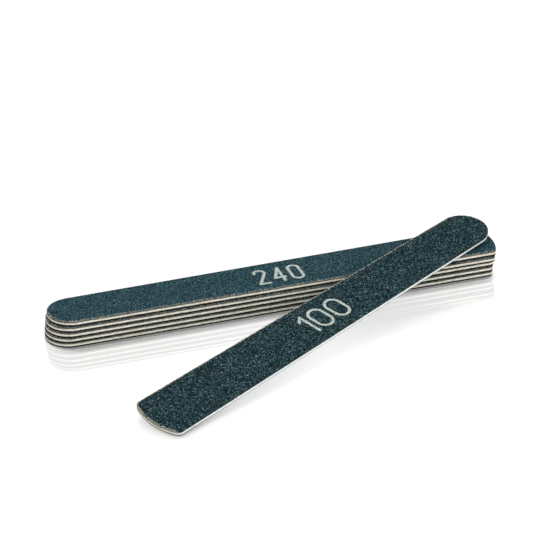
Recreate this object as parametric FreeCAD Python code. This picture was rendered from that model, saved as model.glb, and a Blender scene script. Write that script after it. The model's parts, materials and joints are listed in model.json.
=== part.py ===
import FreeCAD, Part
import math
import os

# A set of six loose emery boards: a neat stack, and one board that leans on the stack's near edge.
# Lengths are in millimetres and angles in degrees. +X runs along the stack to its wide ends, +Z is up,
# and the origin is the middle of the lowest board's underside.

# Outline of one board, seen from above
board_length = 178.0
round_end_width = 19.0
wide_end_width = 22.0
wide_end_bulge = 2.8
corner_radius = 2.3

# Layers of one board. One face of the core carries a coarse abrasive sheet, and the other a fine one.
core_thickness = 1.0
glue_thickness = 0.05
coarse_paper_thickness = 0.3
coarse_grit_thickness = 0.4
fine_paper_thickness = 0.15
fine_grit_thickness = 0.15

# Where each board of the stack lies, from the lowest up, as shares of the largest stray:
# sideways at its round end, sideways at its wide end, and along the stack
largest_stray = 1.4
stray_shares = (
    (0.0, 0.0, 0.0),
    (-0.15, 0.0, 0.1),
    (-0.2, 0.25, 0.3),
    (0.0, -0.4, 0.5),
    (0.35, 0.3, 1.0),
)

# Where the leaning board lies, in its own sloping plane: its turn away from the edge that carries it,
# and its middle's place along that edge and out from it
lean_turn = 28.1
lean_along = 8.7
lean_out = 22.7
lean_clearance = 0.02

# Worked out from the sizes above
round_radius = round_end_width / 2
wide_half = wide_end_width / 2
half_length = board_length / 2
end_arc_radius = (wide_half ** 2 + wide_end_bulge ** 2) / (2 * wide_end_bulge)
layers = (
    ("coarse_grit", coarse_grit_thickness),
    ("coarse_paper", coarse_paper_thickness),
    ("coarse_glue", glue_thickness),
    ("core", core_thickness),
    ("fine_glue", glue_thickness),
    ("fine_paper", fine_paper_thickness),
    ("fine_grit", fine_grit_thickness),
)
board_thickness = sum(thickness for name, thickness in layers)

UP = FreeCAD.Vector(0, 0, 1)


def side_line():
    """The direction of the straight +Y side, towards the wide end, and its outward normal."""
    round_centre_distance = board_length - round_radius
    reach = math.hypot(round_centre_distance, wide_half)
    to_corner = math.atan2(wide_half, round_centre_distance)
    slope = to_corner - math.asin(round_radius / reach)
    along = FreeCAD.Vector(math.cos(slope), math.sin(slope), 0)
    outward = UP.cross(along)
    return along, outward


def corner_centre():
    """The middle of the +Y corner's rounding, which is tangent to the side and to the end arc."""
    along, outward = side_line()
    arc_centre = FreeCAD.Vector(half_length - end_arc_radius, 0, 0)
    start = FreeCAD.Vector(half_length, wide_half, 0) - outward * corner_radius
    offset = start - arc_centre
    across = offset.dot(along)
    clear = offset.dot(offset) - (end_arc_radius - corner_radius) ** 2
    step = math.sqrt(across ** 2 - clear) - across
    return start + along * step


def mirrored(point):
    return FreeCAD.Vector(point.x, -point.y, point.z)


def outline_face():
    """The board's outline: a half-round end at -X, tapering sides and a shallow end arc at +X."""
    along, outward = side_line()
    round_centre = FreeCAD.Vector(round_radius - half_length, 0, 0)
    arc_centre = FreeCAD.Vector(half_length - end_arc_radius, 0, 0)
    corner = corner_centre()
    towards_end = (corner - arc_centre).normalize()
    between = (towards_end + outward).normalize()

    side_start = round_centre + outward * round_radius
    side_end = corner + outward * corner_radius
    corner_middle = corner + between * corner_radius
    arc_start = corner + towards_end * corner_radius
    round_tip = FreeCAD.Vector(-half_length, 0, 0)
    wide_tip = FreeCAD.Vector(half_length, 0, 0)

    edges = [
        Part.LineSegment(side_start, side_end).toShape(),
        Part.Arc(side_end, corner_middle, arc_start).toShape(),
        Part.Arc(arc_start, wide_tip, mirrored(arc_start)).toShape(),
        Part.Arc(mirrored(arc_start), mirrored(corner_middle), mirrored(side_end)).toShape(),
        Part.LineSegment(mirrored(side_end), mirrored(side_start)).toShape(),
        Part.Arc(mirrored(side_start), round_tip, side_start).toShape(),
    ]
    return Part.Face(Part.Wire(edges))


def board_layers(order):
    """The layers of one board as solids, laid up in this order from the plane Z = 0."""
    face = outline_face()
    solids = []
    height = 0.0
    for name, thickness in order:
        solid = face.extrude(UP * thickness)
        solid.translate(UP * height)
        solids.append((name, solid))
        height = height + thickness
    return solids


def stacked_placement(level):
    """Where the board at this level of the stack lies, counted from 0 at the bottom."""
    round_share, wide_share, along_share = stray_shares[level]
    round_stray = largest_stray * round_share
    wide_stray = largest_stray * wide_share
    turn = math.degrees(math.atan2(wide_stray - round_stray, board_length))
    middle = FreeCAD.Vector(
        largest_stray * along_share,
        (round_stray + wide_stray) / 2,
        level * board_thickness,
    )
    return FreeCAD.Placement(middle, FreeCAD.Rotation(UP, turn))


def leaning_placement():
    """The leaning board's underside lies on the stack's top near edge, and its near corner on the floor.

    It is worked out in the top board's own frame: the carrying edge is that board's straight -Y side.
    """
    top = stacked_placement(len(stray_shares) - 1)
    side_along, side_outward = side_line()
    edge_along = mirrored(side_along)
    edge_outward = mirrored(side_outward)
    edge_middle = edge_outward * edge_outward.dot(FreeCAD.Vector(half_length, -wide_half, 0))
    edge_height = len(stray_shares) * board_thickness + lean_clearance

    # In the sloping plane, the near corner's rounding reaches furthest down the slope.
    turn = math.radians(lean_turn)
    corner = corner_centre()
    corner_reach = corner.x * math.sin(turn) + corner.y * math.cos(turn) + corner_radius
    slope = math.asin(edge_height / (lean_out + corner_reach))

    down = edge_outward * math.cos(slope) - UP * math.sin(slope)
    axis = down * math.sin(turn) - edge_along * math.cos(turn)
    normal = edge_outward * math.sin(slope) + UP * math.cos(slope)
    side = normal.cross(axis)
    foot = edge_middle + edge_along * lean_along + down * lean_out + UP * edge_height
    matrix = FreeCAD.Matrix(
        axis.x, side.x, normal.x, foot.x,
        axis.y, side.y, normal.y, foot.y,
        axis.z, side.z, normal.z, foot.z,
        0, 0, 0, 1,
    )
    level_top = FreeCAD.Placement(FreeCAD.Vector(top.Base.x, top.Base.y, 0), top.Rotation)
    return level_top.multiply(FreeCAD.Placement(matrix))


def export_board(board, placement, order):
    for name, solid in board_layers(order):
        solid.Placement = placement.multiply(solid.Placement)
        solid.exportStep(f"parts/{board}_{name}.step")


os.makedirs("parts", exist_ok=True)
for level in range(len(stray_shares)):
    export_board(f"board_{level + 1}", stacked_placement(level), layers)

# The leaning board is turned over, so its coarse face is the upper one.
turned_over = tuple(reversed(layers))
export_board("leaning_board", leaning_placement(), turned_over)
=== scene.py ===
# A set of emery boards in a plain studio: a stack of loose boards, and one that leans on its near edge.
# Lengths are in millimetres and angles in degrees, and MM turns a length into Blender's metres.
import json
import math

import bpy
import numpy as np
from mathutils import Matrix, Vector, geometry, kdtree

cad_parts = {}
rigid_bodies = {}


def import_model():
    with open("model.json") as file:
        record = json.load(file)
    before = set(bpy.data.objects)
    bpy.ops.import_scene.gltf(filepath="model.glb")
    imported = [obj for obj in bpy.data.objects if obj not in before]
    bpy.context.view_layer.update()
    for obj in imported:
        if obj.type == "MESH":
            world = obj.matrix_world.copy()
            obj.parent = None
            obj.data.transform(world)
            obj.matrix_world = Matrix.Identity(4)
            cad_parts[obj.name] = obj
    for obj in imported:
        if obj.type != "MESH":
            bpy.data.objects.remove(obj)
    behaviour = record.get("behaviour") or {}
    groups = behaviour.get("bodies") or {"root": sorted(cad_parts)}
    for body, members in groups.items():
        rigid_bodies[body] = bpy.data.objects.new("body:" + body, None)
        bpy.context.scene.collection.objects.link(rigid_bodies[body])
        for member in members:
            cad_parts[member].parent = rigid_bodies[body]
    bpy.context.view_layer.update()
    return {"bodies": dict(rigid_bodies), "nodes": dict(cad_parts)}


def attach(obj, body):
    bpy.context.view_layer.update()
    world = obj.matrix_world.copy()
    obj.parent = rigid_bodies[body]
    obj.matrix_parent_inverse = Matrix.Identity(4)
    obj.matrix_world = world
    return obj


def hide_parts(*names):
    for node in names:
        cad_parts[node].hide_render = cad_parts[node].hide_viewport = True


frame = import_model()

MM = 0.001
bodies = list(frame["bodies"])

# Outline of one board, seen from above
board_length = 178.0
round_end_width = 19.0
wide_end_width = 22.0
wide_end_bulge = 2.8
corner_radius = 2.3

# Thicknesses of one board's layers, from its coarse face to its fine one
layers = {
    "coarse_grit": 0.4,
    "coarse_paper": 0.3,
    "coarse_glue": 0.05,
    "core": 1.0,
    "fine_glue": 0.05,
    "fine_paper": 0.15,
    "fine_grit": 0.15,
}

# Grains of the abrasive coats. They rise from the bond's level, by shares of the coat's thickness.
coarse_spacing = 0.42
fine_spacing = 0.33
grain_jitter_share = 0.36
grain_gap_share = 0.6
bond_share = 0.5
relief_power = 1.4
rim_relief_share = 0.2
rim_relief_power = 2
rim_wear = 0.06

# Chipped grains show near a coat's rim. Where the die left it clean, grains count as this much further in.
clean_margin = 1.6

# Die-cut edges of the core, the papers and the glue films. A level is a ring of points round such an edge.
edge_step = 0.4
drift_length = 1.6
core_levels = 6
core_wear = 0.06
coarse_paper_levels = 3
thin_levels = 2
paper_wear = 0.1
glue_wear = 0.08

# The sheets' resin smeared over the core's cut: how uneven its edge is, and how much further it reaches
# from the upper sheet
smear_reach = 0.5
upper_smear = 0.2

# The pale burr on the leaning board's cut: where it starts, is full, starts to fade and ends along the
# board, and its strength at the wide end
burr_places = (-60.0, -40.0, 55.0, 75.0)
burred_layers = ("core", "fine_glue", "fine_paper", "fine_grit")
end_burr_share = 0.7
end_burred_layers = ("coarse_paper", "coarse_glue")

# How far before a board's wide tip its sides end, and over what length their looks fade into the end's
side_end_gap = 3.2
side_end_fade = 1.0

# Loose fibres that the die left on the core's edge
fibre_count = 260
fibre_length = 0.34
fibre_shortest_share = 0.4
fibre_width = 0.07
fibre_out_share = 0.6
fibre_rise = 0.3

# The grit number printed on a face. Its reach from its middle is a share of the board's length.
print_height = 11.6
print_stroke = 1.1
print_gap = 1.6
print_middle = 1.2
print_reach_share = 0.125
no_ink_distance = 3.0

# Where the strokes of some digits bend, as shares of their height, width or half turn
stroke_step = 0.2
one_flag_share = 0.22
two_sweep_share = 0.18
four_stem_share = 0.74
four_bar_share = 0.27

# The two numbers, how wide their digits are, and the way that each reads along its board
coarse_number = "100"
coarse_digit_width = 7.4
coarse_number_turn = -1.0
fine_number = "240"
fine_digit_width = 5.2
fine_number_turn = 1.0

# Patterns: how far each board's are shifted from the next one's, and the first seeds of the random draws
board_shift = 300.0
coarse_layout_seed = 7
fine_layout_seed = 8
first_seeds = {
    "coarse_grit": 100,
    "fine_grit": 200,
    "core": 300,
    "coarse_paper": 400,
    "fine_paper": 500,
    "coarse_glue": 600,
    "fine_glue": 700,
}

# Limits within which two directions count as alike or opposite, two points as one, and a line as a point
alike_cosine = 0.5
opposite_cosine = -0.9
same_point = 1e-6
shortest_square = 1e-9

# Camera, fitted to the photograph's frame of 533 pixels
frame_pixels = 533
focal_pixels = 2202.0
sensor_width = 36.0
camera_azimuth = -18.342
camera_elevation = 27.71
camera_roll = -0.887
camera_distance = 864.88
camera_target = (6.606, 26.989, 0.0)
nearest_seen = 50.0

# The world's light, and each lamp's name, place, width and power in watts
white = (1.0, 1.0, 1.0, 1.0)
world_strength = 0.66
softboxes = (
    ("key", (-250.0, 400.0, 900.0), 500.0, 2.2),
    ("fill", (600.0, -1000.0, 420.0), 900.0, 6.0),
)

# The light table's top: its tone to the boards and to the camera, its glow and a painted pool of extra glow,
# and its polish
floor_half = 4000.0
floor_drop = 0.01
table_tone = 0.8
table_white = 0.22
table_glow = 0.64
# A painted pool of light: extra glow round this place, out to this radius
light_pool_glow = 0.18
light_pool_place = (5.0, -50.0, 0.0)
light_pool_radius = 100.0
table_ior = 3.0
polished_roughness = 0.02
dull_roughness = 0.35
polish_edge = -29.0
polish_fade = 4.0

# The table's shade right before and under what lies on it. Its test looks to the back, and as much below
# the top as above it. Nothing lies below, so at least half of what it sees is open, and three quarters
# beside the ends of the stack.
contact_reach = 6.4
contact_light = 0.26
contact_samples = 16
shut_share = 0.5
open_share = 0.75

# Worked out from the sizes above
round_radius = round_end_width / 2
wide_half = wide_end_width / 2
half_length = board_length / 2
end_arc_radius = (wide_half ** 2 + wide_end_bulge ** 2) / (2 * wide_end_bulge)
side_end = half_length - side_end_gap
print_reach = board_length * print_reach_share


# The outline

def turned(angle):
    """The unit vector at this angle in the plane."""
    return np.array([math.cos(angle), math.sin(angle)])


def side_slope():
    """How far the straight sides turn from the board's length."""
    distance = board_length - round_radius
    reach = math.hypot(distance, wide_half)
    return math.atan2(wide_half, distance) - math.asin(round_radius / reach)


def corner_centre(slope):
    """The middle of the +Y corner's rounding."""
    along = turned(slope)
    outward = turned(slope + math.pi / 2)
    start = np.array([half_length, wide_half]) - outward * corner_radius
    offset = start - np.array([half_length - end_arc_radius, 0.0])
    across = offset @ along
    clear = offset @ offset - (end_arc_radius - corner_radius) ** 2
    return start + along * (math.sqrt(across ** 2 - clear) - across)


def straight(start, end, step):
    """Points from start up to end, without the end."""
    count = max(1, round(float(np.linalg.norm(end - start)) / step))
    shares = np.arange(count)[:, None] / count
    return start + (end - start) * shares


def arc(centre, radius, start, end, step):
    """Points round an arc, without its end."""
    count = max(1, round(radius * abs(end - start) / step))
    angles = start + (end - start) * np.arange(count) / count
    return centre + radius * np.stack([np.cos(angles), np.sin(angles)], axis=1)


def rim(step):
    """The board's outline, counter-clockwise from the round end's -Y side, at about this step."""
    slope = side_slope()
    corner = corner_centre(slope)
    lower_corner = corner * np.array([1.0, -1.0])
    round_centre = np.array([round_radius - half_length, 0.0])
    arc_centre = np.array([half_length - end_arc_radius, 0.0])
    side_angle = math.pi / 2 + slope
    end_angle = math.atan2(corner[1], corner[0] - arc_centre[0])
    side_out = turned(side_angle)
    low_out = turned(-side_angle)
    return np.concatenate([
        straight(round_centre + low_out * round_radius, lower_corner + low_out * corner_radius, step),
        arc(lower_corner, corner_radius, -side_angle, -end_angle, step),
        arc(arc_centre, end_arc_radius, -end_angle, end_angle, step),
        arc(corner, corner_radius, end_angle, side_angle, step),
        straight(corner + side_out * corner_radius, round_centre + side_out * round_radius, step),
        arc(round_centre, round_radius, side_angle, 2 * math.pi - side_angle, step),
    ])


def inward_normals(loop):
    """Unit vectors that point into a counter-clockwise loop at each of its points."""
    along = np.roll(loop, -1, axis=0) - np.roll(loop, 1, axis=0)
    along /= np.linalg.norm(along, axis=1)[:, None]
    return np.stack([-along[:, 1], along[:, 0]], axis=1)


def scattered(spacing, random):
    """Points in rows over the whole board, each moved a little off its place."""
    row_step = spacing * math.sqrt(3) / 2
    rows = int(wide_end_width / row_step) + 2
    columns = int(board_length / spacing) + 2
    column, row = np.meshgrid(np.arange(columns), np.arange(rows))
    x = (column + (row % 2) / 2) * spacing - half_length
    y = row * row_step - wide_half
    points = np.stack([x.ravel(), y.ravel()], axis=1)
    return points + (random.random(points.shape) - 0.5) * 2 * grain_jitter_share * spacing


def well_inside(points, loop, spacing):
    """Those of the points that lie inside the loop and clear of it, and their distances from it."""
    tree = kdtree.KDTree(len(loop))
    for index, point in enumerate(loop):
        tree.insert((point[0], point[1], 0.0), index)
    tree.balance()
    normals = inward_normals(loop)
    kept = []
    distances = []
    for point in points:
        place, index, distance = tree.find((point[0], point[1], 0.0))
        depth = (point - loop[index]) @ normals[index]
        if depth > spacing / 2 and distance > spacing * grain_gap_share:
            kept.append(point)
            distances.append(distance)
    return np.array(kept), np.array(distances)


def grain_layout(spacing, seed):
    """A coat's points in the plane, its rim first, the triangles that join them, and their rim distances."""
    random = np.random.default_rng(seed)
    loop = rim(spacing)
    loop = loop + inward_normals(loop) * (rim_wear * random.random(len(loop)))[:, None]
    inner, distances = well_inside(scattered(spacing, random), loop, spacing)
    points = np.concatenate([loop, inner])
    outline = list(range(len(loop)))
    inside_only = 1
    joined = geometry.delaunay_2d_cdt([Vector(p) for p in points], [], [outline], inside_only, same_point)
    depths = np.concatenate([np.zeros(len(loop)), distances])
    return np.array([tuple(p) for p in joined[0]]), [tuple(face) for face in joined[2]], depths


# One board in its place

def board_order(board):
    """A board's layers from the lowest up: the leaning board is turned over, with its coarse face up."""
    names = list(layers)
    return names[::-1] if board == "leaning_board" else names


def layer_bottom(board, layer):
    """How high this layer's underside lies in its board."""
    order = board_order(board)
    return sum(layers[name] for name in order[:order.index(layer)])


def board_pose(board):
    """The board's own frame, read from its core: +X to its wide end, +Z out of its upper face."""
    mesh = frame["nodes"][f"{board}_core"].data
    faces = sorted(mesh.polygons, key=lambda face: -face.area)
    up = next(face.normal.copy() for face in faces if face.normal.z > alike_cosine)
    walls = [face.normal.copy() for face in faces if abs(face.normal.dot(up)) < alike_cosine]
    one = walls[0]
    other = next(normal for normal in walls if normal.dot(one) < opposite_cosine)
    across = (one - other).normalized()
    along = across.cross(up).normalized()
    if along.dot(one + other) > 0:
        along = -along
    across = up.cross(along).normalized()
    points = np.array([tuple(v.co) for v in mesh.vertices])
    first = board_order(board)[0]
    lowest = np.array([tuple(v.co) for v in frame["nodes"][f"{board}_{first}"].data.vertices])
    origin = Vector((0.0, 0.0, 0.0))
    for axis in (along, across):
        reach = points @ np.array(axis)
        origin += axis * float((reach.max() + reach.min()) / 2)
    origin += up * float((lowest @ np.array(up)).min())
    pose = Matrix((along, across, up)).transposed().to_4x4()
    pose.translation = origin
    return pose


poses = {board: board_pose(board) for board in bodies}


def add_piece(board, node, points, faces, material):
    """A mesh that takes the place of a board's node, from points in millimetres in the board's own frame.

    Its point attribute "place" holds those points, so that patterns follow the board. Each board's are
    shifted, so that no two boards look the same.
    """
    points = np.asarray(points)
    pose = np.array(poses[board])
    mesh = bpy.data.meshes.new(f"{board}_{node}_look")
    mesh.from_pydata((points * MM @ pose[:3, :3].T + pose[:3, 3]).tolist(), [], faces)
    mesh.update()
    place = points.copy()
    place[:, 0] += board_shift * (1 + bodies.index(board))
    attribute = mesh.attributes.new("place", "FLOAT_VECTOR", "POINT")
    attribute.data.foreach_set("vector", (place * MM).astype(np.float32).ravel())
    mesh.materials.append(material)
    piece = bpy.data.objects.new(mesh.name, mesh)
    bpy.context.scene.collection.objects.link(piece)
    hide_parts(f"{board}_{node}")
    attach(piece, board)
    return piece


def store(piece, name, values):
    """Keeps one number for each point of a piece, for its material to read."""
    attribute = piece.data.attributes.new(name, "FLOAT", "POINT")
    attribute.data.foreach_set("value", values.astype(np.float32))


# The grit number

def zero_stroke(width, height):
    """An upright rounded loop."""
    radius = width / 2
    upper = arc(np.array([radius, height - radius]), radius, 0.0, math.pi, stroke_step)
    lower = arc(np.array([radius, radius]), radius, math.pi, 2 * math.pi, stroke_step)
    loop = np.concatenate([upper, lower])
    return np.concatenate([loop, loop[:1]])


def two_stroke(width, height):
    """A rounded top, a slanting back and a straight foot."""
    radius = width / 2
    centre = np.array([radius, height - radius])
    top = arc(centre, radius, math.pi, -math.pi * two_sweep_share, stroke_step)
    foot = np.array([[0.0, 0.0], [width, 0.0]])
    return np.concatenate([top, foot])


def digit_stroke(digit, digit_width):
    """A digit's stroke as a line of points, standing on Y = 0 from X = 0, and its width."""
    height = print_height - print_stroke
    width = digit_width - print_stroke
    if digit == "0":
        return zero_stroke(width, height), width
    if digit == "1":
        flag = height * one_flag_share
        return np.array([[0.0, height - flag], [flag, height], [flag, 0.0]]), flag
    if digit == "2":
        return two_stroke(width, height), width
    stem = width * four_stem_share
    bar = height * four_bar_share
    return np.array([[stem, 0.0], [stem, height], [0.0, bar], [width, bar]]), width


def number_strokes(number, digit_width):
    """The number's strokes in a face's own plane, read along +X and centred on it."""
    placed = []
    left = 0.0
    for digit in number:
        stroke, width = digit_stroke(digit, digit_width)
        placed.append(stroke + np.array([left, 0.0]))
        left += width + print_stroke + print_gap
    middle = np.array([(left - print_gap - print_stroke) / 2, (print_height - print_stroke) / 2])
    return [stroke - middle for stroke in placed]


def ink_distance(points, strokes, turn):
    """How far each point lies outside the number's strokes, and below 0 inside them."""
    places = (points[:, :2] - np.array([print_middle, 0.0])) * turn
    best = np.full(len(places), no_ink_distance)
    near = np.abs(places[:, 0]) < print_reach
    picked = places[near]
    least = best[near]
    for stroke in strokes:
        for start, end in zip(stroke[:-1], stroke[1:]):
            run = end - start
            share = np.clip((picked - start) @ run / max(run @ run, shortest_square), 0.0, 1.0)
            gap = np.linalg.norm(picked - start - share[:, None] * run, axis=1)
            least = np.minimum(least, gap - print_stroke / 2)
    best[near] = least
    return best


# The pieces of one board

def side_share(points):
    """1 along a board's sides, which falls to 0 at its wide end."""
    return np.interp(points[:, 0], (side_end, side_end + side_end_fade), (1.0, 0.0))


def burr(board, layer, points):
    """How far a pale burr covers a layer's cut on the leaning board.

    It runs along the board's middle from the core down, and over the upper backing at the wide end.
    """
    if board == "leaning_board" and layer in burred_layers:
        return np.interp(points[:, 0], burr_places, (0.0, 1.0, 1.0, 0.0))
    if board == "leaning_board" and layer in end_burred_layers:
        return end_burr_share * (1 - side_share(points))
    return np.zeros(len(points))


def clean_share(board, points):
    """How clean the die left a coat's rim, from 0, chipped, to 1.

    The +Y side is clean, and so is the wide end of a board in the stack.
    """
    side = np.clip(points[:, 1] / wide_half, 0.0, 1.0)
    if board == "leaning_board":
        return side * side_share(points)
    return np.maximum(side, 1 - side_share(points))


def grain_heights(count, rim_count, seed):
    """How high each point of a coat stands, as a share of its thickness, with the rim's points first."""
    random = np.random.default_rng(seed)
    heights = bond_share + (1 - bond_share) * random.random(count) ** relief_power
    heights[:rim_count] = bond_share + rim_relief_share * random.random(rim_count) ** rim_relief_power
    return heights


def coat_slab(layout, thickness, seed):
    """A closed slab: a relief of grains, and then the points of a flat back's rim."""
    plane, triangles, depths = layout
    count = len(plane)
    rim_count = int((depths == 0).sum())
    top = np.column_stack([plane, thickness * grain_heights(count, rim_count, seed)])
    back = np.column_stack([plane[:rim_count], np.zeros(rim_count)])
    faces = list(triangles)
    for index in range(rim_count):
        after = (index + 1) % rim_count
        faces.append((index, count + index, count + after, after))
    faces.append(tuple(count + index for index in reversed(range(rim_count))))
    return np.concatenate([top, back]), faces


def make_coat(board, kind, layout, strokes, turn, material, seed):
    """One abrasive coat, whose outer face carries a number."""
    layer = f"{kind}_grit"
    thickness = layers[layer]
    points, faces = coat_slab(layout, thickness, seed)
    ink = ink_distance(points, strokes, turn)
    bottom = layer_bottom(board, layer)
    if bottom == 0:
        # The lowest coat is turned over about the board's length.
        points[:, 1] = -points[:, 1]
        points[:, 2] = thickness - points[:, 2]
    points[:, 2] += bottom
    piece = add_piece(board, layer, points, faces, material)

    depths = layout[2]
    count = len(depths)
    back_count = len(points) - count
    rim_distance = np.concatenate([depths, np.full(back_count, wide_half)])
    # The cut wall's share, which the material paints near-black: dark resin and painted shade between stacked
    # boards.
    cut = np.concatenate([np.zeros(count), np.ones(back_count)])
    if board == "leaning_board":
        # This board's cut is left without the painted shade: it shows the grains, or the burr over them.
        rim_distance[count:] *= 1 - burr(board, layer, points[count:])
        cut[:] = 0.0
    rim_distance += clean_margin * clean_share(board, points)
    store(piece, "ink", ink)
    store(piece, "rim", rim_distance)
    store(piece, "cut", cut)


def slab(low, high, levels, wear, random):
    """A closed slab between two heights, whose die-cut edge is worn back unevenly."""
    loop = rim(edge_step)
    normals = inward_normals(loop)
    count = len(loop)
    knots = np.arange(0.0, count * edge_step + drift_length, drift_length)
    drift = np.interp(np.arange(count) * edge_step, knots, random.random(len(knots)))
    points = []
    for height in np.linspace(low, high, levels):
        inset = wear * (drift + random.random(count)) / 2
        points.append(np.column_stack([loop + normals * inset[:, None], np.full(count, height)]))
    faces = []
    for level in range(levels - 1):
        first = level * count
        for index in range(count):
            after = (index + 1) % count
            faces.append((first + index, first + after, first + count + after, first + count + index))
    last = (levels - 1) * count
    faces.append(tuple(reversed(range(count))))
    faces.append(tuple(range(last, last + count)))
    return np.concatenate(points), faces


def fibres(low, high, random):
    """Loose fibres that the die left on the core's edge, some of them turned up over the sheets' edges."""
    loop = rim(edge_step)
    normals = inward_normals(loop)
    points = []
    faces = []
    for index in random.integers(len(loop), size=fibre_count):
        inward = np.append(normals[index], 0.0)
        beside = np.array([normals[index][1], -normals[index][0], 0.0]) * random.choice([-1.0, 1.0])
        foot = np.append(loop[index], random.uniform(low, high)) + inward * fibre_width
        length = fibre_length * random.uniform(fibre_shortest_share, 1.0)
        tip = foot + beside * length - inward * fibre_width * fibre_out_share
        tip[2] += random.uniform(-1.0, 1.0) * fibre_rise
        thick = np.array([0.0, 0.0, fibre_width / 2])
        start = len(points)
        points += [foot - thick, foot + thick, foot - inward * fibre_width, tip]
        faces += [(start, start + 1, start + 2), (start, start + 3, start + 1)]
        faces += [(start + 1, start + 3, start + 2), (start + 2, start + 3, start)]
    return np.array(points), faces


def make_core(board, material, seed):
    """The pressed board, with loose fibres on its cut edge."""
    random = np.random.default_rng(seed)
    low = layer_bottom(board, "core")
    high = low + layers["core"]
    points, faces = slab(low, high, core_levels, core_wear, random)
    fibre_points, fibre_faces = fibres(low, high, random)
    shifted = [tuple(index + len(points) for index in face) for face in fibre_faces]
    points = np.concatenate([points, fibre_points])
    piece = add_piece(board, "core", points, faces + shifted, material)

    lower = points[:, 2] - low + burr(board, "core", points)
    upper = high - points[:, 2] - upper_smear
    # Painted light: the leaning board's sides take the paler cream.
    pale = side_share(points) if board == "leaning_board" else np.zeros(len(points))
    store(piece, "sheet", np.minimum(lower, upper))
    store(piece, "pale", pale)


def make_film(board, layer, levels, wear, material, seed):
    """A backing paper or a glue film."""
    low = layer_bottom(board, layer)
    points, faces = slab(low, low + layers[layer], levels, wear, np.random.default_rng(seed))
    piece = add_piece(board, layer, points, faces, material)
    store(piece, "burr", burr(board, layer, points))


# What the materials are made of

def node_material(name):
    """A new material, a function that links sockets, its shader, and a function that adds nodes."""
    material = bpy.data.materials.new(name)
    material.use_nodes = True
    tree = material.node_tree

    def add(kind, **settings):
        node = tree.nodes.new(kind)
        for key, value in settings.items():
            setattr(node, key, value)
        return node

    return material, tree.links.new, tree.nodes["Principled BSDF"], add


def srgb(red, green, blue):
    """A colour as seen on a screen, from 0 to 255, in linear values, by the sRGB curve's own constants."""
    def linear(value):
        value = value / 255
        return value / 12.92 if value <= 0.04045 else ((value + 0.055) / 1.055) ** 2.4
    return (linear(red), linear(green), linear(blue), 1.0)


def stored(add, name):
    """The number that each point of a piece keeps under this name."""
    return add("ShaderNodeAttribute", attribute_name=name).outputs["Fac"]


def board_place(add):
    """Each point's place in its board's own frame."""
    return add("ShaderNodeAttribute", attribute_name="place").outputs["Vector"]


def colour_ramp(add, link, value, stops):
    """The colour that a value picks from these stops."""
    node = add("ShaderNodeValToRGB")
    while len(node.color_ramp.elements) < len(stops):
        node.color_ramp.elements.new(position=0.5)
    for element, (position, colour) in zip(node.color_ramp.elements, stops):
        element.position = position
        element.color = colour
    link(value, node.inputs["Fac"])
    return node.outputs["Color"]


def map_range(add, link, value, low, high, from_low=0.0, from_high=1.0, interpolation="LINEAR"):
    """A value moved from one range to another, and held within it."""
    node = add("ShaderNodeMapRange", interpolation_type=interpolation)
    node.inputs["From Min"].default_value = from_low
    node.inputs["From Max"].default_value = from_high
    node.inputs["To Min"].default_value = low
    node.inputs["To Max"].default_value = high
    link(value, node.inputs["Value"])
    return node.outputs["Result"]


def noise(add, link, place, size, detail):
    """A noise whose features are about this many millimetres wide."""
    node = add("ShaderNodeTexNoise")
    node.inputs["Scale"].default_value = 1 / (size * MM)
    node.inputs["Detail"].default_value = detail
    link(place, node.inputs["Vector"])
    return node.outputs["Fac"]


def mixed(add, link, factor, under, over, blend="MIX"):
    """The colour of one socket laid over another's."""
    node = add("ShaderNodeMix", data_type="RGBA", blend_type=blend)
    if isinstance(factor, float):
        node.inputs["Factor"].default_value = factor
    else:
        link(factor, node.inputs["Factor"])
    link(under, node.inputs["A"])
    link(over, node.inputs["B"])
    return node.outputs["Result"]


def worked_out(add, link, operation, first, second):
    """What a sum on two sockets gives."""
    node = add("ShaderNodeMath", operation=operation)
    link(first, node.inputs[0])
    link(second, node.inputs[1])
    return node.outputs[0]


def roughened(add, link, value, random, reach):
    """A distance whose contour lines a random value makes uneven."""
    uneven = add("ShaderNodeMath", operation="MULTIPLY_ADD")
    uneven.inputs[1].default_value = reach
    uneven.inputs[2].default_value = -reach / 2
    link(random, uneven.inputs[0])
    return worked_out(add, link, "ADD", value, uneven.outputs[0])


def raise_relief(add, link, shader, height, strength, depth):
    """A relief finer than the mesh, from a socket of heights."""
    bump = add("ShaderNodeBump")
    bump.inputs["Strength"].default_value = strength
    bump.inputs["Distance"].default_value = depth * MM
    link(height, bump.inputs["Height"])
    link(bump.outputs["Normal"], shader.inputs["Normal"])


# The materials

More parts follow.
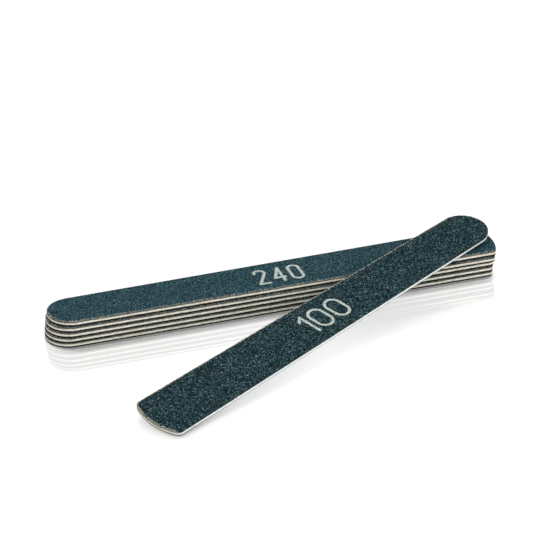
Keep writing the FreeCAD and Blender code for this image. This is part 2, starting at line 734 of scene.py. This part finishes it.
def grit_material(name, grain_size, tones, rim_width, rim_share, rim_tones):
    """Mineral grains in dark resin: each grain has its own tone and shine, and a few catch the light.

    The number's ink lies over them. Along the cut edge chipped grains show a paler rim, and the cut itself
    shows dark resin, blackened further as painted shade between stacked boards.
    """
    material, link, shader, add = node_material(name)
    place = board_place(add)
    grains = add("ShaderNodeTexVoronoi", feature="F1")
    grains.inputs["Scale"].default_value = 1 / (grain_size * MM)
    link(place, grains.inputs["Vector"])
    chance = add("ShaderNodeSeparateColor")
    link(grains.outputs["Color"], chance.inputs[0])
    grain_tone = colour_ramp(add, link, chance.outputs["Red"], tones)
    patches = noise(add, link, place, size=9.0, detail=3.0)
    patch_level = map_range(add, link, patches, low=0.84, high=1.16)
    mineral = mixed(add, link, factor=1.0, under=grain_tone, over=patch_level, blend="MULTIPLY")

    chips = noise(add, link, place, size=0.7, detail=2.0)
    rim_distance = roughened(add, link, stored(add, "rim"), chips, reach=0.9)
    chip_share = map_range(add, link, rim_distance, low=rim_share, high=0.0, from_high=rim_width)
    chipped = worked_out(add, link, "GREATER_THAN", chip_share, chance.outputs["Blue"])
    rim_tone = colour_ramp(add, link, chips, rim_tones)
    worn = mixed(add, link, chipped, mineral, rim_tone)

    ink_edge = 0.07
    ink_reach = roughened(add, link, stored(add, "ink"), chance.outputs["Green"], reach=0.3)
    ink_mask = map_range(add, link, ink_reach, low=0.96, high=0.0, from_low=-ink_edge, from_high=ink_edge)
    ink_tone = colour_ramp(add, link, chance.outputs["Blue"], [
        (0.0, srgb(134, 148, 142)),
        (0.25, srgb(187, 199, 191)),
        (1.0, srgb(214, 222, 213)),
    ])
    inked = mixed(add, link, ink_mask, worn, ink_tone)

    # Painted shade: the cut wall is blackened, as dark resin and as the shade between stacked boards.
    resin_and_shade_mask = map_range(add, link, stored(add, "cut"), low=0.0, high=1.0, from_low=0.1, from_high=0.4)
    resin = colour_ramp(add, link, chips, [(0.3, srgb(6, 7, 5)), (0.7, srgb(24, 25, 20))])
    link(mixed(add, link, resin_and_shade_mask, inked, resin), shader.inputs["Base Color"])

    # Few grains have a chance above this range, and only they glint.
    glint_range = {"from_low": 0.86, "from_high": 0.94}
    shine = map_range(add, link, chance.outputs["Green"], low=0.03, high=0.5, **glint_range)
    link(shine, shader.inputs["Specular IOR Level"])
    roughness = map_range(add, link, chance.outputs["Green"], low=0.75, high=0.3, **glint_range)
    link(roughness, shader.inputs["Roughness"])
    crumbs = noise(add, link, place, size=0.16, detail=2.0)
    raise_relief(add, link, shader, crumbs, strength=0.35, depth=0.05)
    return material


def fine_grit_material():
    return grit_material(
        "fine_grit",
        grain_size=0.29,
        tones=[
            (0.0, srgb(2, 24, 33)),
            (0.4, srgb(18, 51, 60)),
            (0.75, srgb(42, 76, 85)),
            (0.94, srgb(70, 103, 111)),
            (1.0, srgb(112, 139, 146)),
        ],
        rim_width=1.4,
        rim_share=0.5,
        rim_tones=[(0.3, srgb(118, 118, 108)), (0.7, srgb(196, 190, 172))],
    )


def coarse_grit_material():
    return grit_material(
        "coarse_grit",
        grain_size=0.35,
        tones=[
            (0.0, srgb(2, 11, 15)),
            (0.45, srgb(14, 39, 45)),
            (0.78, srgb(37, 66, 72)),
            (0.94, srgb(72, 100, 106)),
            (1.0, srgb(124, 149, 153)),
        ],
        rim_width=0.6,
        rim_share=0.9,
        rim_tones=[(0.3, srgb(150, 146, 130)), (0.7, srgb(216, 210, 192))],
    )


def core_board_material():
    """Pressed board: long fibres along the cut, faint warmer patches and a few darker flecks.

    Painted light makes the leaning board's sides paler. Next to the two sheets the die has smeared some of
    their dark resin over it.
    """
    material, link, shader, add = node_material("core_board")
    place = board_place(add)
    stretch = add("ShaderNodeMapping")
    stretch.inputs["Scale"].default_value = (0.35, 0.35, 1.8)
    link(place, stretch.inputs["Vector"])
    pulp = noise(add, link, stretch.outputs["Vector"], size=0.7, detail=5.0)
    cream = colour_ramp(add, link, pulp, [
        (0.27, srgb(172, 168, 150)),
        (0.4, srgb(219, 218, 205)),
        (0.55, srgb(237, 237, 227)),
        (0.75, srgb(248, 248, 242)),
    ])
    # Painted light: a paler, cooler copy of the cream for the leaning board's brightly lit sides.
    painted_lit_cream = colour_ramp(add, link, pulp, [
        (0.27, srgb(192, 197, 194)),
        (0.4, srgb(230, 236, 233)),
        (0.55, srgb(242, 247, 245)),
        (0.75, srgb(248, 252, 251)),
    ])
    blotches = noise(add, link, place, size=6.0, detail=2.0)
    warmth = colour_ramp(add, link, blotches, [
        (0.35, srgb(255, 236, 222)),
        (0.5, srgb(255, 253, 248)),
        (0.65, srgb(252, 252, 232)),
    ])
    warm = mixed(add, link, factor=0.5, under=cream, over=warmth, blend="MULTIPLY")
    tinted = mixed(add, link, stored(add, "pale"), warm, painted_lit_cream)

    streaks = noise(add, link, stretch.outputs["Vector"], size=0.3, detail=2.0)
    sheet_distance = roughened(add, link, stored(add, "sheet"), streaks, smear_reach)
    smear_mask = map_range(add, link, sheet_distance, low=0.85, high=0.0, from_high=0.1)
    resin = colour_ramp(add, link, streaks, [(0.3, srgb(52, 54, 48)), (0.7, srgb(120, 112, 96))])
    link(mixed(add, link, smear_mask, tinted, resin), shader.inputs["Base Color"])
    shader.inputs["Roughness"].default_value = 0.85
    shader.inputs["Specular IOR Level"].default_value = 0.2
    raise_relief(add, link, shader, pulp, strength=0.5, depth=0.04)
    return material


def film_material(name, size, low, high, roughness):
    """A thin layer's cut edge, which varies a little between two tones, under the pale burr if it has one."""
    material, link, shader, add = node_material(name)
    clouds = noise(add, link, board_place(add), size, detail=4.0)
    tones = colour_ramp(add, link, clouds, [(0.32, low), (0.68, high)])
    pulp = colour_ramp(add, link, clouds, [(0.32, srgb(150, 155, 152)), (0.68, srgb(206, 210, 207))])
    link(mixed(add, link, stored(add, "burr"), tones, pulp), shader.inputs["Base Color"])
    shader.inputs["Roughness"].default_value = roughness
    shader.inputs["Specular IOR Level"].default_value = 0.15
    return material


# Partly painted shade: the coarse backing is near-black, both its own dark paper and the shade between
# stacked boards.
def coarse_paper_and_shade_material():
    return film_material(
        "coarse_sheet_paper_and_shade",
        size=0.8,
        low=srgb(9, 9, 6),
        high=srgb(26, 27, 21),
        roughness=0.8,
    )


def fine_paper_material():
    return film_material(
        "fine_sheet_paper",
        size=0.8,
        low=srgb(60, 70, 68),
        high=srgb(98, 106, 100),
        roughness=0.8,
    )


def glue_material():
    return film_material(
        "glue_film",
        size=1.5,
        low=srgb(84, 78, 64),
        high=srgb(136, 128, 108),
        roughness=0.4,
    )


def painted_light_pool(add, link):
    """The table's glow, with a painted pool of light round one place, where it is stronger and lightens the
    shade.
    """
    # Painted light: the glow is raised round one place, which lightens the shade on the table there.
    pool_place = add("ShaderNodeMapping", vector_type="TEXTURE")
    pool_place.inputs["Location"].default_value = Vector(light_pool_place) * MM
    pool_place.inputs["Scale"].default_value = Vector((1.0, 1.0, 1.0)) * light_pool_radius * MM
    link(add("ShaderNodeTexCoord").outputs["Object"], pool_place.inputs["Vector"])
    lamp = add("ShaderNodeTexGradient", gradient_type="QUADRATIC_SPHERE")
    link(pool_place.outputs["Vector"], lamp.inputs["Vector"])
    highest = table_glow + light_pool_glow
    return map_range(add, link, lamp.outputs["Fac"], table_glow, highest, interpolation="SMOOTHSTEP")


def floor_material():
    """A light table's top, with a painted pool of light in one place.

    It glows to the camera and in reflections, where it shows pure white. It is mirror-polished about the
    stack and duller before it. Right before and under what lies on it, where light from behind is cut off,
    it shows darker.
    """
    material, link, shader, add = node_material("floor")
    paths = add("ShaderNodeLightPath")
    seen = worked_out(add, link, "MAXIMUM", paths.outputs["Is Camera Ray"], paths.outputs["Is Glossy Ray"])
    seen = worked_out(add, link, "MAXIMUM", seen, paths.outputs["Is Transmission Ray"])
    tone = add("ShaderNodeMix", data_type="RGBA")
    tone.inputs["A"].default_value = (table_tone, table_tone, table_tone, 1.0)
    tone.inputs["B"].default_value = (table_white, table_white, table_white, 1.0)
    link(seen, tone.inputs["Factor"])

    behind = add("ShaderNodeCombineXYZ")
    behind.inputs["Y"].default_value = 1.0
    touch = add("ShaderNodeAmbientOcclusion", samples=contact_samples)
    touch.inputs["Distance"].default_value = contact_reach * MM
    link(behind.outputs[0], touch.inputs["Normal"])
    light_left = map_range(
        add,
        link,
        touch.outputs["AO"],
        low=contact_light,
        high=1.0,
        from_low=shut_share,
        from_high=open_share,
    )
    shaded = mixed(add, link, factor=1.0, under=tone.outputs["Result"], over=light_left, blend="MULTIPLY")
    link(shaded, shader.inputs["Base Color"])
    glow = worked_out(add, link, "MULTIPLY", painted_light_pool(add, link), seen)
    glow_left = worked_out(add, link, "MULTIPLY", glow, light_left)
    shader.inputs["Emission Color"].default_value = white
    link(glow_left, shader.inputs["Emission Strength"])

    place = add("ShaderNodeSeparateXYZ")
    link(add("ShaderNodeTexCoord").outputs["Object"], place.inputs[0])
    roughness = map_range(
        add,
        link,
        place.outputs["Y"],
        low=dull_roughness,
        high=polished_roughness,
        from_low=(polish_edge - polish_fade) * MM,
        from_high=(polish_edge + polish_fade) * MM,
        interpolation="SMOOTHSTEP",
    )
    link(roughness, shader.inputs["Roughness"])
    shader.inputs["IOR"].default_value = table_ior
    return material


# The studio

def make_floor():
    half = floor_half * MM
    drop = floor_drop * MM
    mesh = bpy.data.meshes.new("floor")
    corners = [(-half, -half, -drop), (half, -half, -drop), (half, half, -drop), (-half, half, -drop)]
    mesh.from_pydata(corners, [], [(0, 1, 2, 3)])
    floor = bpy.data.objects.new("floor", mesh)
    bpy.context.scene.collection.objects.link(floor)
    mesh.materials.append(floor_material())


def make_world():
    """White all round: full white where it is seen or mirrored, and softer as a light."""
    world = bpy.data.worlds.new("studio")
    bpy.context.scene.world = world
    world.use_nodes = True
    tree = world.node_tree
    soft = tree.nodes["Background"]
    soft.inputs["Color"].default_value = white
    soft.inputs["Strength"].default_value = world_strength
    seen = tree.nodes.new("ShaderNodeBackground")
    seen.inputs["Color"].default_value = white
    seen.inputs["Strength"].default_value = 1.0
    paths = tree.nodes.new("ShaderNodeLightPath")
    mix = tree.nodes.new("ShaderNodeMixShader")
    tree.links.new(paths.outputs["Is Diffuse Ray"], mix.inputs[0])
    tree.links.new(seen.outputs[0], mix.inputs[1])
    tree.links.new(soft.outputs[0], mix.inputs[2])
    tree.links.new(mix.outputs[0], tree.nodes["World Output"].inputs["Surface"])


def add_softbox(name, place, width, power):
    """A round soft lamp that points at the origin."""
    lamp = bpy.data.lights.new(name, "AREA")
    lamp.shape = "DISK"
    lamp.size = width * MM
    lamp.energy = power
    softbox = bpy.data.objects.new(name, lamp)
    softbox.location = Vector(place) * MM
    softbox.rotation_euler = (-Vector(place)).to_track_quat("-Z", "Y").to_euler()
    bpy.context.scene.collection.objects.link(softbox)


def make_camera():
    """The camera at the photograph's viewing angle, turned about its own axis by a small roll."""
    azimuth = math.radians(camera_azimuth)
    elevation = math.radians(camera_elevation)
    back = Vector((
        math.sin(azimuth) * math.cos(elevation),
        -math.cos(azimuth) * math.cos(elevation),
        math.sin(elevation),
    ))
    right = Vector((math.cos(azimuth), math.sin(azimuth), 0.0))
    up = back.cross(right)
    roll = math.radians(camera_roll)
    rolled_right = right * math.cos(roll) + up * math.sin(roll)
    rolled_up = up * math.cos(roll) - right * math.sin(roll)
    data = bpy.data.cameras.new("camera")
    data.sensor_width = sensor_width
    data.lens = focal_pixels / frame_pixels * sensor_width
    data.clip_start = nearest_seen * MM
    camera = bpy.data.objects.new("camera", data)
    camera.matrix_world = Matrix((rolled_right, rolled_up, back)).transposed().to_4x4()
    camera.location = Vector(camera_target) * MM + back * camera_distance * MM
    bpy.context.scene.collection.objects.link(camera)
    bpy.context.scene.camera = camera


# The boards

core_board = core_board_material()
glue = glue_material()
coats = (
    (
        "coarse",
        grain_layout(coarse_spacing, coarse_layout_seed),
        number_strokes(coarse_number, coarse_digit_width),
        coarse_number_turn,
        coarse_grit_material(),
    ),
    (
        "fine",
        grain_layout(fine_spacing, fine_layout_seed),
        number_strokes(fine_number, fine_digit_width),
        fine_number_turn,
        fine_grit_material(),
    ),
)
films = (
    ("coarse_paper", "backing_paper", coarse_paper_levels, paper_wear, coarse_paper_and_shade_material()),
    ("fine_paper", "backing_paper", thin_levels, paper_wear, fine_paper_material()),
    ("coarse_glue", "glue_film", thin_levels, glue_wear, glue),
    ("fine_glue", "glue_film", thin_levels, glue_wear, glue),
)
for number, board in enumerate(bodies):
    for kind, layout, strokes, turn, material in coats:
        make_coat(board, kind, layout, strokes, turn, material, first_seeds[f"{kind}_grit"] + number)
    make_core(board, core_board, first_seeds["core"] + number)
    for layer, slot, levels, wear, material in films:
        make_film(board, layer, levels, wear, material, first_seeds[layer] + number)

make_floor()
make_world()
for name, place, width, power in softboxes:
    add_softbox(name, place, width, power)
make_camera()
bpy.context.scene.view_settings.view_transform = "Standard"
